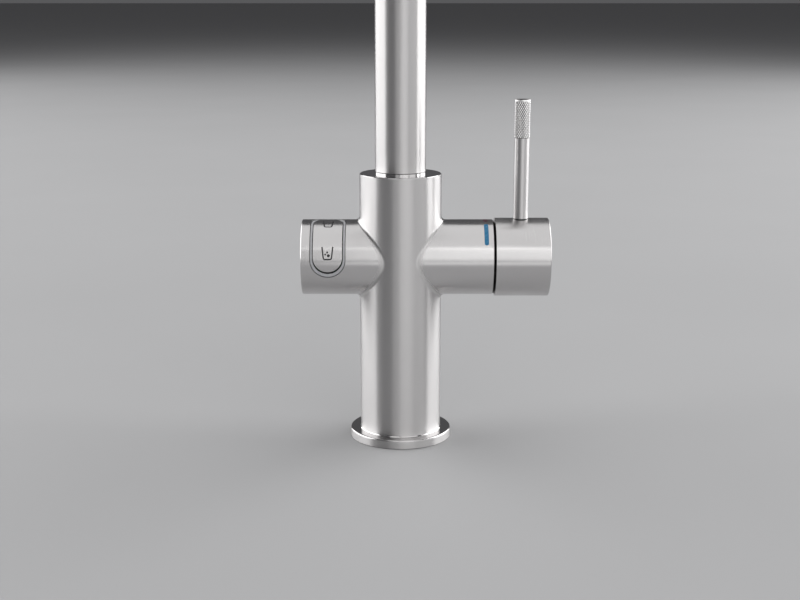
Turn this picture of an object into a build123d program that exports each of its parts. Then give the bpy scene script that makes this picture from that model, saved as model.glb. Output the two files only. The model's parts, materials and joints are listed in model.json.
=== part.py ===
from build123d import *
import os
from math import asin, cos, degrees, radians, sin, sqrt, tan

# Water filter kitchen tap.
# Millimetres. The origin is the middle of the base on the worktop, +Z is up,
# +X is towards the mixing lever and -Y is towards the person at the sink.

# Clearances
cut_slack = 0.02
snug_gap = 0.05
run_gap = 0.06
pivot_gap = 0.09
skim_gap = 0.1
fit_gap = 0.15
seal_slack = 0.2
part_gap = 0.3
loose_gap = 0.4
end_gap = 0.5

# Body: one casting, an upright cylinder with a level arm on each side
body_r = 22.65
body_top = 150.6
body_wall = 2.5
top_wall = 2.6
arm_r = 20.9
arm_wall = 2.5
arm_z = 103.7
left_reach = 54.6
right_reach = 51.3
junction_fillet = 2.5
rim_chamfer = 0.4

# Base ring and its seal
base_r = 28.5
base_h = 4.9
base_edge_r = 1.0
base_lip = 0.5
base_floor = 1.5
seal_proud = 0.3
seal_depth = 1.0
seal_w = 3.0
seal_inset = 2.0

# Threaded shank and what clamps it under the worktop
shank_r = 16.4
shank_bore_r = 13.3
shank_flange_h = 6.0
shank_spare = 1.0
shank_lead_in = 0.8
worktop_t = 30.0
worktop_max = 52.0
rubber_washer_r = 27.0
rubber_washer_t = 3.0
clamp_washer_r = 26.0
clamp_washer_t = 2.0
nut_flats = 46.0
nut_h = 8.0
nut_corner_cut = 0.9

# Spout: a tall round arch that swings
spout_r = 14.0
spout_wall = 1.5
spout_reach = 200.0
spout_height = 390.0
outlet_drop = 18.0
foot_ring_h = 1.0
foot_slit = 0.35
spigot_r = 11.9
spigot_wall = 2.3
spigot_len_up = 18.0
spigot_lift = 0.1
seal_cord_r = 0.9
seal_bulge = 0.01
low_seal_up = 4.0
high_seal_up = 16.0

# Bearing sleeve for the spout
sleeve_step = 1.5
sleeve_floor = 3.5
sleeve_lip = 1.3
sleeve_shoulder = 2.4
sleeve_seal_t = 1.0

# Stop screw in the back of the body, which sets the swing
swing_deg = 75.0
stop_slack_deg = 1.0
stop_up = 9.0
stop_groove_h = 3.2
stop_groove_depth = 1.3
stop_pin_r = 1.4
stop_shoulder_gap = 0.6
stop_screw_r = 2.4
stop_screw_sink = 0.3
stop_key_r = 1.25
stop_key_depth = 2.2

# Inner tube that carries the filtered water on its own
pure_r = 3.2
pure_wall = 0.9
pure_seat = 2.5
pure_boss_wall = 2.0
pure_boss_up = 1.5
pure_seal_r = 0.55
pure_seal_up = 2.4

# Outlet
outlet_ring_h = 13.0
outlet_ring_wall = 1.8
outlet_ring_sink = 0.3
former_h = 5.0
former_recess = 1.0
former_hole_r = 0.75
former_row_gap = 1.2
former_inner_holes = 12
former_outer_holes = 18
nozzle_r = 4.6
nozzle_proud = 0.8
nozzle_over = 2.0
nozzle_socket = 4.0
outlet_seal_w = 1.4
outlet_seal_t = 1.6

# Water guide inside the body
guide_r = 15.5
guide_foot_h = 5.0
guide_boss_slack = 1.4
guide_over = 1.4
channel_r = 3.0
port_circle_r = 7.4
port_turn_deg = 120.0
port_r = 4.45
port_depth = 10.0
socket_wall = 0.95
socket_below = 4.0
socket_above = 9.0
pure_turn_z = 88.0
mix_x = 7.9
mix_r = 2.4
mix_rise = 7.0
inlet_fall = 2.0

# Mixer cartridge in the right arm
pivot_inset = 16.0
lever_gap = 1.0
tilt_deg = 25.0
turn_deg = 45.0
cart_len = 35.1
cart_slack = 1.5
cart_base_t = 3.0
cart_seal_t = 1.0
cart_seal_w = 1.2
cart_nose_inset = 3.0
cart_nose_t = 2.5
cart_nut_t = 3.4
cart_nut_slot_w = 2.0
cart_nut_slot_d = 1.4
disc_t = 3.0
disc_wall = 4.3
disc_skim = 0.05
disc_room = 1.2
disc_margin = 2.1
disc_pocket = 1.8
pocket_half_w = 2.6
pocket_rise = 3.6
pocket_rim = 4.5
pocket_reach = 4.0
pocket_arm_r = 1.8
carrier_t = 4.0
lug_half_h = 4.0
lug_w = 1.6
lug_inset = 0.6
lug_len = 2.0
driver_slack = 2.4
driver_neck_r = 11.8
neck_proud = 1.4
neck_gap = 0.6
turn_lug_h = 1.2
turn_lug_len = 4.0
turn_lug_deg = 14.0
pivot_pin_r = 1.5
pivot_pin_sink = 0.5
stem_r = 3.8
stem_inner_len = 7.4
stem_ball_r = 2.3
stem_neck_r = 1.6
stem_boss_r = 4.6
stem_cover = 4.4

# Domed ring that closes the right arm
dome_rim_inset = 0.5
dome_lip = 2.0
dome_skirt = 2.8

# Lever hub and pin
hub_over = 0.87
hub_len = 29.9
hub_edge = 0.6
hub_lip = 0.8
pin_inset = 14.3
pin_r = 4.0
pin_len = 65.53
pin_rim = 0.4
stud_r = 2.5
stud_len = 9.0
collar_sink = 0.6
collar_h = 0.8
grub_r = 2.0
grub_len = 8.0
grub_inset = 21.0
grub_key_r = 1.0
grub_key_depth = 2.0
plug_r = 3.0
plug_t = 2.0

# Temperature marks let into the right arm
mark_inset = 4.3
mark_w = 2.35
mark_depth = 0.3
cold_from_deg = 20.0
cold_to_deg = 62.0
hot_from_deg = -30.0
hot_to_deg = 12.0

# Push pad and light ring on the left arm; angles run from the arm's top to the front
pad_inset = 14.8
pad_mid_deg = 50.0
pad_w = 15.9
pad_end_deg = 30.6
pad_t = 1.2
cut_w = 19.6
cut_end_deg = 34.2
ring_w_out = 18.9
ring_w_in = 16.8
ring_in_end_deg = 32.2
ring_sink = 0.4
ring_deep = 3.3

# Rocker under the push pad
rock_deg = 1.0
rock_pin_depth = 7.5
rock_pin_r = 1.0
rock_pin_seat = 1.3
frame_t = 2.1
frame_w = 14.0
frame_over = 3.3
frame_web = 5.2
frame_web_inset = 1.6
frame_web_below = 2.2
frame_web_bite = 0.5
frame_post_r = 1.9
frame_tip_r = 4.0

# Module housing, circuit board and switches
module_inset = 3.8
pocket_past_switch = 0.9
pocket_slack = 0.2
board_depth = 16.0
board_t = 1.6
board_screw_r = 1.0
screw_to_switch = 5.1
board_screw_len = 5.0
board_screw_head_r = 1.8
board_screw_head_h = 1.2
board_plug_half = 2.6
plug_below_lead = 2.3
lamp_len = 1.6
lamp_w = 3.0
lamp_h = 0.9
lamp_u = 4.4
lamp_inset = 1.5
switch_side = 6.0
switch_h = 3.6
plunger_r = 1.7
plunger_top = 1.2
plunger_root = 1.5
plunger_skim = 0.08
plunger_room = 0.56
lead_r = 1.2
lead_x = 9.5
lead_bend_r = 7.0
lead_socket_r = 2.7
lead_socket_bore_r = 1.9
lead_socket_bore_h = 6.0
lead_socket_drop = 3.0

# End cap of the left arm
cap_t = 2.8
cap_edge = 0.3
cap_seal_r = 0.6
cap_seal_squeeze = 0.03

# Body and base, worked out
body_in = body_r - body_wall
arm_in = arm_r - arm_wall
foot_z = seal_proud + base_floor
base_top = seal_proud + base_h
hub_r = arm_r + hub_over
cart_r = arm_in - cart_slack
guide_z = foot_z + shank_flange_h
clamp_z = -worktop_t
washer_z = clamp_z - rubber_washer_t
nut_z = washer_z - clamp_washer_t
shank_end = -(worktop_max + rubber_washer_t + clamp_washer_t + nut_h + shank_spare)

# Spout and outlet, worked out
foot_ring_top = body_top + foot_ring_h
spout_foot = foot_ring_top + foot_slit
spout_in = spout_r - spout_wall
arch_r = spout_reach / 2
arch_z = spout_height - spout_r - arch_r
outlet_z = arch_z - outlet_drop
guide_top = arm_z + cart_r + guide_over
sleeve_z = guide_top + sleeve_seal_t
sleeve_foot_r = guide_r - sleeve_step
sleeve_wide_z = arm_z + arm_in + sleeve_shoulder
spigot_seat = sleeve_z + sleeve_floor
spigot_z = spigot_seat + spigot_lift
stop_z = spigot_seat + stop_up
seal_mid = spigot_r - seal_cord_r + seal_bulge
spigot_seal_z = (spigot_seat + low_seal_up, spigot_seat + high_seal_up)
pure_in = pure_r - pure_wall
pure_foot = guide_top - pure_seat
pure_boss_r = pure_r + pure_boss_wall
pure_boss_top = spigot_z + pure_boss_up
pure_seal_mid = pure_r + run_gap + pure_seal_r
pure_seal_z = guide_top + pure_seal_up
outlet_ring_out = spout_in - snug_gap
outlet_ring_in = outlet_ring_out - outlet_ring_wall
former_r = outlet_ring_in - snug_gap
former_z = outlet_z + former_recess
nozzle_z = former_z - nozzle_proud
nozzle_top = outlet_z + outlet_ring_h + nozzle_over
pure_end = nozzle_top - nozzle_socket

# Ports of the water guide, worked out
port_x = port_circle_r * cos(radians(port_turn_deg))
port_y = port_circle_r * sin(radians(port_turn_deg))
socket_r = port_r + socket_wall
socket_low = guide_z - socket_below
socket_top = guide_z + socket_above
inlet_z = arm_z - inlet_fall
mix_z = arm_z + mix_rise
guide_foot_top = guide_z + guide_foot_h
guide_boss_r = arm_in - guide_boss_slack
guide_face_x = right_reach - cart_len

# Mixer cartridge and lever, worked out
pivot_x = right_reach - pivot_inset
disc_r = cart_r - disc_wall
moving_disc_r = disc_r - disc_margin
pocket_drop = moving_disc_r - pocket_rim
driver_r = cart_r - driver_slack
cart_base_x = guide_face_x + cart_base_t
fixed_disc_end = cart_base_x + disc_t
moving_disc_x = fixed_disc_end + disc_skim
moving_disc_end = moving_disc_x + disc_t
carrier_end = moving_disc_end + carrier_t
driver_x = carrier_end + part_gap
ball_x = pivot_x - stem_inner_len
nose_x = right_reach - cart_nose_inset - cart_nut_t
driver_end = nose_x - cart_nose_t - part_gap
cart_ports = ((port_y, inlet_z), (-port_y, inlet_z), (0.0, mix_z))
disc_travel = stem_inner_len * sin(radians(tilt_deg))
cart_bore = moving_disc_r + disc_travel + disc_room
lug_out = moving_disc_r - lug_inset
lug_in = lug_out - lug_w
hub_x = right_reach + lever_gap
hub_end = hub_x + hub_len
hub_top = arm_z + hub_r
hub_low = arm_z - hub_r
pin_top = hub_top + pin_len
pin_x = hub_x + pin_inset
grub_x = hub_x + grub_inset
dome_rim = arm_r - dome_rim_inset
dome_r = sqrt(pivot_inset ** 2 + dome_rim ** 2)
dome_hole_r = arm_in - dome_lip
hollow_r = sqrt((pivot_inset + lever_gap) ** 2 + (hub_r - hub_lip) ** 2)

# Push pad module, worked out
pad_x = -left_reach + pad_inset
pad_under_r = arm_r - pad_t
ring_top_r = arm_r - ring_sink
ring_floor_r = ring_top_r - ring_deep
cap_in = -left_reach + cap_t
cap_seal_mid = arm_in - cap_seal_r - cap_seal_squeeze
cap_seal_x = -left_reach + cap_t / 2 + seal_slack
module_r = arm_in - seal_slack
pocket_half_x = ring_w_in / 2 - pocket_slack
board_v = arm_r - board_depth
board_top = board_v + board_t
board_plug_h = board_v + plug_below_lead
switch_top = board_top + switch_h
plunger_end = switch_top + plunger_top
plate_floor = pad_under_r - frame_t
switch_u = sqrt(plate_floor ** 2 - (plunger_end + plunger_room) ** 2) - plunger_r
board_screw_u = switch_u - screw_to_switch
pocket_half_u = switch_u + switch_side / 2 + pocket_past_switch
board_end = pocket_half_u - part_gap
plunger_travel = switch_u * sin(radians(rock_deg))
rock_pivot_v = arm_r - rock_pin_depth
frame_mid_r = pad_under_r - frame_t / 2
frame_end_deg = degrees(asin((switch_u + frame_over - frame_w / 2) / frame_mid_r))


# Building helpers
def rod_z(r, z0, z1, x=0.0, y=0.0):
    return Pos(x, y, z0) * Cylinder(r, z1 - z0, align=(Align.CENTER, Align.CENTER, Align.MIN))


def rod_x(r, x0, x1, y=0.0, z=arm_z):
    rod = Cylinder(r, x1 - x0, align=(Align.CENTER, Align.CENTER, Align.MIN))
    return Pos(x0, y, z) * Rot(0, 90, 0) * rod


def rod_y(r, y0, y1, x, z):
    rod = Cylinder(r, y1 - y0, align=(Align.CENTER, Align.CENTER, Align.MIN))
    return Pos(x, y0, z) * Rot(-90, 0, 0) * rod


def tube_z(r_out, r_in, z0, z1, x=0.0, y=0.0):
    return rod_z(r_out, z0, z1, x, y) - rod_z(r_in, z0 - 1, z1 + 1, x, y)


def tube_x(r_out, r_in, x0, x1, y=0.0, z=arm_z):
    return rod_x(r_out, x0, x1, y, z) - rod_x(r_in, x0 - 1, x1 + 1, y, z)


def block(x0, x1, y0, y1, z0, z1):
    low = (Align.MIN, Align.MIN, Align.MIN)
    return Pos(x0, y0, z0) * Box(x1 - x0, y1 - y0, z1 - z0, align=low)


def mirrored_blocks(x0, x1, y_near, y_far, z0, z1):
    # the same block on both sides of the arm's middle
    front = block(x0, x1, -y_far, -y_near, z0, z1)
    back = block(x0, x1, y_near, y_far, z0, z1)
    return front, back


def o_ring_z(mid_r, cord_r, z):
    return Pos(0, 0, z) * Torus(mid_r, cord_r)


def o_ring_x(mid_r, cord_r, x):
    return Pos(x, 0, arm_z) * Rot(0, 90, 0) * Torus(mid_r, cord_r)


def ball(r, x, y, z):
    return Pos(x, y, z) * Sphere(r)


def turned_z(points):
    # points are (radius, height)
    outline = Polyline([(r, 0, z) for r, z in points], close=True)
    return revolve(make_face(outline), Axis.Z)


def turned_x(outline):
    # an outline drawn above the arm's axis, in the XZ plane
    return revolve(make_face(outline), Axis((0, 0, arm_z), (1, 0, 0)))


# The arm's curved surface: phi is 0 at the top of the arm and grows to the front
def outward(phi):
    return (0, -sin(radians(phi)), cos(radians(phi)))


def looking_in(x, phi):
    # a plane square to the arm's surface normal, with its origin on the arm's axis
    return Plane(origin=(x, 0, arm_z), x_dir=(1, 0, 0), z_dir=outward(phi))


def around_arm(x, phi):
    # a plane across the arm, whose x direction is the surface normal at phi
    return Plane(origin=(x, 0, arm_z), x_dir=outward(phi), z_dir=(1, 0, 0))


def arm_wedge(r, phi_a, phi_b, x0, x1):
    # a slice of a rod on the arm's axis, between two angles
    piece = Cylinder(r, x1 - x0, arc_size=phi_b - phi_a, align=(Align.NONE, Align.NONE, Align.MIN))
    return around_arm(x0, phi_a).location * piece


def wrapped_slot(x_mid, width, phi_a, phi_b, r_in, r_out):
    # a slot with round ends wrapped on the arm, between two radii
    half = width / 2
    far = r_out + half
    half_post = Cylinder(half, far, arc_size=180, align=(Align.NONE, Align.NONE, Align.MIN))
    shape = arm_wedge(far, phi_a, phi_b, x_mid - half, x_mid + half)
    shape += looking_in(x_mid, phi_a).location * half_post
    shape += looking_in(x_mid, phi_b).location * Rot(0, 0, 180) * half_post
    return shape & tube_x(r_out, r_in, x_mid - half - 1, x_mid + half + 1)


def pad_slot(width, end_deg, r_in, r_out):
    return wrapped_slot(pad_x, width, pad_mid_deg - end_deg, pad_mid_deg + end_deg, r_in, r_out)


# The push pad's own axes: x along the arm, u across it, v outwards through the pad
def on_pad(piece, x=0.0, u=0.0, v=0.0):
    return looking_in(pad_x, pad_mid_deg).location * Pos(x, u, v) * piece


def pad_block(half_x, u0, u1, v0, v1, x=0.0):
    low = (Align.CENTER, Align.MIN, Align.MIN)
    return on_pad(Box(2 * half_x, u1 - u0, v1 - v0, align=low), x, u0, v0)


def pad_post(r, u, v0, v1):
    return on_pad(Cylinder(r, v1 - v0, align=(Align.CENTER, Align.CENTER, Align.MIN)), 0, u, v0)


def pad_cross_pin(r, half_len, v):
    return on_pad(Rot(0, 90, 0) * Cylinder(r, 2 * half_len), 0, 0, v)


def spout_run(r, z0, z1):
    # the spout's path for any tube radius: up, over the arch and down to the outlet
    riser = rod_z(r, z0, arch_z)
    half_ring = revolve(Plane.XY * Circle(r), Axis((0, -arch_r, 0), (1, 0, 0)), 180)
    drop = rod_z(r, z1, arch_z, 0, -spout_reach)
    return riser + Pos(0, 0, arch_z) * half_ring + drop


# Body and base
def mark(first_deg, last_deg, width, r_in, r_out):
    end = degrees(asin(mark_w / 2 / arm_r))
    return wrapped_slot(right_reach - mark_inset, width, first_deg + end, last_deg - end, r_in, r_out)


def make_body_shell():
    shell = rod_z(body_r, foot_z, body_top) + rod_x(arm_r, -left_reach, right_reach)
    plain = [GeomType.CIRCLE, GeomType.LINE]
    junction = shell.edges().filter_by(lambda e: e.geom_type not in plain)
    shell = fillet(junction, junction_fillet)
    top_rim = shell.edges().filter_by(GeomType.CIRCLE).sort_by(Axis.Z)[-1]
    shell = chamfer(top_rim, rim_chamfer)
    ends = shell.edges().filter_by(GeomType.CIRCLE).sort_by(Axis.X)
    shell = chamfer([ends[0], ends[-1]], rim_chamfer)
    shell -= rod_z(body_in, foot_z - 1, body_top - top_wall)
    shell -= rod_x(arm_in, -left_reach - 1, right_reach + 1)
    shell -= rod_z(spigot_r + part_gap, body_top - top_wall - 1, body_top + 1)
    shell -= rod_y(stop_screw_r + snug_gap, 0, body_r + 1, 0, stop_z)
    shell -= pad_slot(cut_w, cut_end_deg, arm_in - 1, arm_r + 1)
    groove_r = arm_r - mark_depth - cut_slack
    for first, last in ((cold_from_deg, cold_to_deg), (hot_from_deg, hot_to_deg)):
        shell -= mark(first, last, mark_w + 2 * cut_slack, groove_r, arm_r + 1)
    return shell


def make_base_ring():
    inner = body_r + snug_gap
    hole = shank_r + loose_gap
    shoulder = base_top - base_edge_r
    half_turn = base_edge_r * (1 - cos(radians(45)))
    outline = [
        Line((hole, 0, seal_proud), (base_r, 0, seal_proud)),
        Line((base_r, 0, seal_proud), (base_r, 0, shoulder)),
        ThreePointArc(
            (base_r, 0, shoulder),
            (base_r - half_turn, 0, base_top - half_turn),
            (base_r - base_edge_r, 0, base_top),
        ),
        Polyline(
            (base_r - base_edge_r, 0, base_top),
            (inner + base_lip, 0, base_top),
            (inner, 0, base_top + base_lip),
            (inner, 0, foot_z),
            (hole, 0, foot_z),
            (hole, 0, seal_proud),
        ),
    ]
    ring = revolve(make_face(outline), Axis.Z)
    seat_out = base_r - seal_inset
    return ring - tube_z(seat_out, seat_out - seal_w, seal_proud - 1, seal_depth + cut_slack)


def make_base_seal():
    seat_out = base_r - seal_inset
    return tube_z(seat_out - cut_slack, seat_out - seal_w + cut_slack, 0, seal_depth)


def make_shank():
    flange = rod_z(body_in - fit_gap, foot_z, guide_z)
    shank = flange + rod_z(shank_r, shank_end, foot_z)
    shank -= rod_z(shank_bore_r, shank_end - 1, guide_z + 1)
    foot_edges = shank.edges().filter_by(GeomType.CIRCLE).sort_by(Axis.Z)[:2]
    return chamfer(foot_edges.sort_by(SortBy.RADIUS)[-1], shank_lead_in)


# Clamp below the worktop
def make_rubber_washer():
    return tube_z(rubber_washer_r, shank_r + loose_gap, washer_z, clamp_z)


def make_clamp_washer():
    return tube_z(clamp_washer_r, shank_r + part_gap, nut_z, washer_z)


def make_clamp_nut():
    hexagon = RegularPolygon(nut_flats / 2, 6, major_radius=False)
    nut = Pos(0, 0, nut_z - nut_h) * extrude(hexagon, nut_h)
    nut &= rod_z(nut_flats / sqrt(3) - nut_corner_cut, nut_z - nut_h, nut_z)
    return nut - rod_z(shank_r + run_gap, nut_z - nut_h - 1, nut_z + 1)


# Water guide and inlets
def make_water_guide():
    guide = rod_z(body_in - fit_gap, guide_z, guide_foot_top)
    guide += rod_z(guide_r, guide_z, guide_top)
    guide += rod_x(guide_boss_r, 0, guide_face_x)
    guide -= rod_x(cart_r + part_gap, guide_face_x, right_reach)
    guide += rod_z(pure_boss_r, guide_top - 1, pure_boss_top)
    for x, y in ((port_x, port_y), (port_x, -port_y), (port_circle_r, 0)):
        guide -= rod_z(socket_r + snug_gap, guide_z - 1, socket_top, x, y)
    for y in (port_y, -port_y):
        guide -= rod_z(channel_r, socket_top - 1, inlet_z, port_x, y)
        guide -= ball(channel_r, port_x, y, inlet_z)
        guide -= rod_x(channel_r, port_x, guide_face_x + 1, y, inlet_z)
    guide -= rod_z(pure_in, socket_top - 1, pure_turn_z, port_circle_r, 0)
    guide -= ball(pure_in, port_circle_r, 0, pure_turn_z)
    guide -= rod_x(pure_in, 0, port_circle_r, 0, pure_turn_z)
    guide -= ball(pure_in, 0, 0, pure_turn_z)
    guide -= rod_z(pure_in, pure_turn_z, pure_boss_top + 1)
    guide -= rod_z(pure_r + run_gap, pure_foot - end_gap, pure_boss_top + 1)
    guide -= o_ring_z(pure_seal_mid, pure_seal_r + cut_slack, pure_seal_z)
    guide -= rod_x(mix_r, mix_x, guide_face_x + 1, 0, mix_z)
    guide -= ball(mix_r, mix_x, 0, mix_z)
    guide -= rod_z(mix_r, mix_z, guide_top + 1, mix_x, 0)
    slot_half = lead_r + end_gap
    slot_in = -lead_x + slot_half
    guide -= block(-guide_r - 1, slot_in, -slot_half, slot_half, guide_foot_top, arm_z + slot_half)
    return guide - rod_z(lead_socket_r + snug_gap, guide_z - 1, guide_foot_top + 1, -lead_x, 0)


def make_pure_seal():
    return o_ring_z(pure_seal_mid, pure_seal_r, pure_seal_z)


def make_inlet(x, y, way_r):
    inlet = rod_z(socket_r, socket_low, socket_top, x, y)
    inlet -= rod_z(port_r, socket_low - 1, socket_low + port_depth, x, y)
    return inlet - rod_z(way_r, socket_low, socket_top + 1, x, y)


# Spout, its bearing and its outlet
def make_bearing_sleeve():
    bore = spigot_r + run_gap
    outline = [
        (spigot_r - sleeve_lip, sleeve_z),
        (sleeve_foot_r, sleeve_z),
        (sleeve_foot_r, sleeve_wide_z),
        (body_in - fit_gap, sleeve_wide_z),
        (body_in - fit_gap, body_top - top_wall),
        (bore, body_top - top_wall),
        (bore, spigot_seat),
        (spigot_r - sleeve_lip, spigot_seat),
    ]
    return turned_z(outline) - rod_y(stop_screw_r + snug_gap, 0, body_r, 0, stop_z)


def make_sleeve_seal():
    return tube_z(sleeve_foot_r - seal_slack, spigot_r - sleeve_lip + seal_slack, guide_top, sleeve_z)


def make_foot_ring():
    return tube_z(spout_r, spigot_r + part_gap, body_top, foot_ring_top)


def make_stop_screw():
    tip = spigot_r - stop_groove_depth + part_gap
    shoulder = spigot_r + stop_shoulder_gap
    face = body_r - stop_screw_sink
    screw = rod_y(stop_screw_r, shoulder, face, 0, stop_z)
    screw += rod_y(stop_pin_r, tip, shoulder + 1, 0, stop_z)
    key = RegularPolygon(stop_key_r, 6, major_radius=False)
    socket = Plane(origin=(0, face - stop_key_depth, stop_z), z_dir=(0, 1, 0)) * key
    return screw - extrude(socket, stop_key_depth + 1)


def make_spigot():
    top = spout_foot + spigot_len_up
    spigot = rod_z(spigot_r, spigot_z, spout_foot) + rod_z(spout_in - snug_gap, spout_foot, top)
    spigot -= rod_z(spigot_r - spigot_wall, spigot_z - 1, top + 1)
    for z in spigot_seal_z:
        spigot -= o_ring_z(seal_mid, seal_cord_r + cut_slack, z)
    floor_r = spigot_r - stop_groove_depth
    half = swing_deg + degrees(asin(stop_pin_r / floor_r)) + stop_slack_deg
    level = (Align.NONE, Align.NONE, Align.CENTER)
    span = Cylinder(spigot_r + 1, stop_groove_h, arc_size=2 * half, align=level)
    groove = Pos(0, 0, stop_z) * Rot(0, 0, 90 - half) * span
    return spigot - (groove - rod_z(floor_r, stop_z - stop_groove_h, stop_z + stop_groove_h))


def make_spigot_seals():
    return [o_ring_z(seal_mid, seal_cord_r, z) for z in spigot_seal_z]


def make_spout_tube():
    return spout_run(spout_r, spout_foot, outlet_z) - spout_run(spout_in, spout_foot - 1, outlet_z - 1)


def make_pure_tube():
    return spout_run(pure_r, pure_foot, pure_end) - spout_run(pure_in, pure_foot - 1, pure_end - 1)


def make_outlet_ring():
    low = outlet_z + outlet_ring_sink
    return tube_z(outlet_ring_out, outlet_ring_in, low, outlet_z + outlet_ring_h, 0, -spout_reach)


def make_spray_former():
    former = tube_z(former_r, nozzle_r + snug_gap, former_z, former_z + former_h, 0, -spout_reach)
    mid_r = (former_r + nozzle_r) / 2
    inner_row = PolarLocations(mid_r - former_row_gap, former_inner_holes)
    outer_row = PolarLocations(mid_r + former_row_gap, former_outer_holes)
    for row in (inner_row, outer_row):
        drills = [place * Cylinder(former_hole_r, 3 * former_h) for place in row]
        former -= Pos(0, -spout_reach, former_z) * Compound(drills)
    return former


def make_outlet_seal():
    low = former_z + former_h
    return tube_z(former_r, former_r - outlet_seal_w, low, low + outlet_seal_t, 0, -spout_reach)


def make_nozzle():
    nozzle = rod_z(nozzle_r, nozzle_z, nozzle_top, 0, -spout_reach)
    nozzle -= rod_z(pure_r + snug_gap, pure_end, nozzle_top + 1, 0, -spout_reach)
    return nozzle - rod_z(pure_in, nozzle_z - 1, nozzle_top, 0, -spout_reach)


# Mixer cartridge
def make_cart_base():
    base = rod_x(cart_r, guide_face_x, cart_base_x)
    seat_r = mix_r + cart_seal_w + skim_gap
    for y, z in cart_ports:
        base -= rod_x(mix_r, guide_face_x - 1, cart_base_x + 1, y, z)
        base -= rod_x(seat_r, guide_face_x - 1, guide_face_x + cart_seal_t, y, z)
    return base


def make_cart_seals():
    start = guide_face_x
    return [tube_x(mix_r + cart_seal_w, mix_r, start, start + cart_seal_t, y, z) for y, z in cart_ports]


def make_cart_housing():
    shell = rod_x(cart_r, cart_base_x, nose_x)
    shell -= rod_x(disc_r + snug_gap, cart_base_x - 1, fixed_disc_end)
    shell -= rod_x(cart_bore, fixed_disc_end, nose_x - cart_nose_t)
    shell -= rod_x(driver_neck_r + part_gap, nose_x - cart_nose_t - 1, nose_x + 1)
    turn_half = turn_deg + turn_lug_deg / 2 + stop_slack_deg
    way_r = driver_r + turn_lug_h + part_gap
    way_end = driver_x + turn_lug_len + part_gap
    return shell - arm_wedge(way_r, -turn_half, turn_half, fixed_disc_end, way_end)


def make_fixed_disc():
    disc = rod_x(disc_r, cart_base_x, fixed_disc_end)
    for y, z in cart_ports:
        disc -= rod_x(mix_r, cart_base_x - 1, fixed_disc_end + 1, y, z)
    return disc


def make_moving_disc():
    disc = rod_x(moving_disc_r, moving_disc_x, moving_disc_end)
    start = moving_disc_x - 1
    end = moving_disc_x + disc_pocket
    cross_z = arm_z - pocket_drop
    for z in (arm_z + pocket_rise, cross_z):
        disc -= rod_x(pocket_half_w, start, end, 0, z)
    disc -= block(start, end, -pocket_half_w, pocket_half_w, cross_z, arm_z + pocket_rise)
    for y in (-pocket_reach, pocket_reach):
        disc -= rod_x(pocket_arm_r, start, end, y, cross_z)
    arm_low = cross_z - pocket_arm_r
    return disc - block(start, end, -pocket_reach, pocket_reach, arm_low, cross_z + pocket_arm_r)


def make_disc_carrier():
    carrier = rod_x(moving_disc_r, moving_disc_end, carrier_end)
    end = carrier_end + lug_len
    for lug in mirrored_blocks(carrier_end - 1, end, lug_in, lug_out, arm_z - lug_half_h, arm_z + lug_half_h):
        carrier += lug
    carrier &= rod_x(moving_disc_r, moving_disc_end - 1, end + 1)
    return carrier - rod_x(stem_ball_r + seal_slack, ball_x - stem_ball_r - skim_gap, end + 1)


def make_driver():
    driver = rod_x(driver_r, driver_x, driver_end) + rod_x(driver_neck_r, driver_end, nose_x + neck_proud)
    lug_r = driver_r + turn_lug_h
    driver += arm_wedge(lug_r, -turn_lug_deg / 2, turn_lug_deg / 2, driver_x, driver_x + turn_lug_len)
    half = stem_r + part_gap
    reach = nose_x + neck_proud + 1 - pivot_x
    fall = half / cos(radians(tilt_deg))
    sweep = Polyline(
        (pivot_x, 0, arm_z + half),
        (pivot_x + reach, 0, arm_z + half),
        (pivot_x + reach, 0, arm_z - reach * tan(radians(tilt_deg)) - fall),
        (pivot_x, 0, arm_z - fall),
        close=True,
    )
    driver -= extrude(make_face(sweep), half, both=True)
    driver -= rod_y(stem_boss_r + loose_gap, -half, half, pivot_x, arm_z)
    ball_room = stem_ball_r + loose_gap
    low = driver_x - 1
    driver -= block(low, pivot_x, -ball_room, ball_room, arm_z - ball_room, arm_z + disc_travel + ball_room)
    slot_end = carrier_end + lug_len + loose_gap
    slot_low = arm_z - lug_half_h - loose_gap
    slot_top = arm_z + lug_half_h + disc_travel + loose_gap
    for slot in mirrored_blocks(low, slot_end, lug_in - part_gap, lug_out + part_gap, slot_low, slot_top):
        driver -= slot
    return driver - rod_y(pivot_pin_r + cut_slack, -driver_r, driver_r, pivot_x, arm_z)


def make_pivot_pin():
    half = sqrt(driver_r ** 2 - pivot_pin_r ** 2) - pivot_pin_sink
    return rod_y(pivot_pin_r, -half, half, pivot_x, arm_z)


def make_cart_nut():
    end = nose_x + cart_nut_t
    half = cart_nut_slot_w / 2
    floor = end - cart_nut_slot_d
    nut = tube_x(arm_in - skim_gap, driver_neck_r + neck_gap, nose_x, end)
    nut -= block(floor, end + 1, -half, half, arm_z - arm_in, arm_z + arm_in)
    return nut - block(floor, end + 1, -arm_in, arm_in, arm_z - half, arm_z + half)


def make_arm_dome():
    lean = (asin(dome_rim / dome_r) + asin(dome_hole_r / dome_r)) / 2
    nose = pivot_x + sqrt(dome_r ** 2 - dome_hole_r ** 2)
    mid = (pivot_x + dome_r * cos(lean), 0, arm_z + dome_r * sin(lean))
    back = right_reach - dome_skirt
    skirt_z = arm_z + arm_in - fit_gap
    outline = [
        ThreePointArc((right_reach, 0, arm_z + dome_rim), mid, (nose, 0, arm_z + dome_hole_r)),
        Polyline(
            (nose, 0, arm_z + dome_hole_r),
            (back, 0, arm_z + dome_hole_r),
            (back, 0, skirt_z),
            (right_reach, 0, skirt_z),
            (right_reach, 0, arm_z + dome_rim),
        ),
    ]
    return turned_x(outline)


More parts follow.
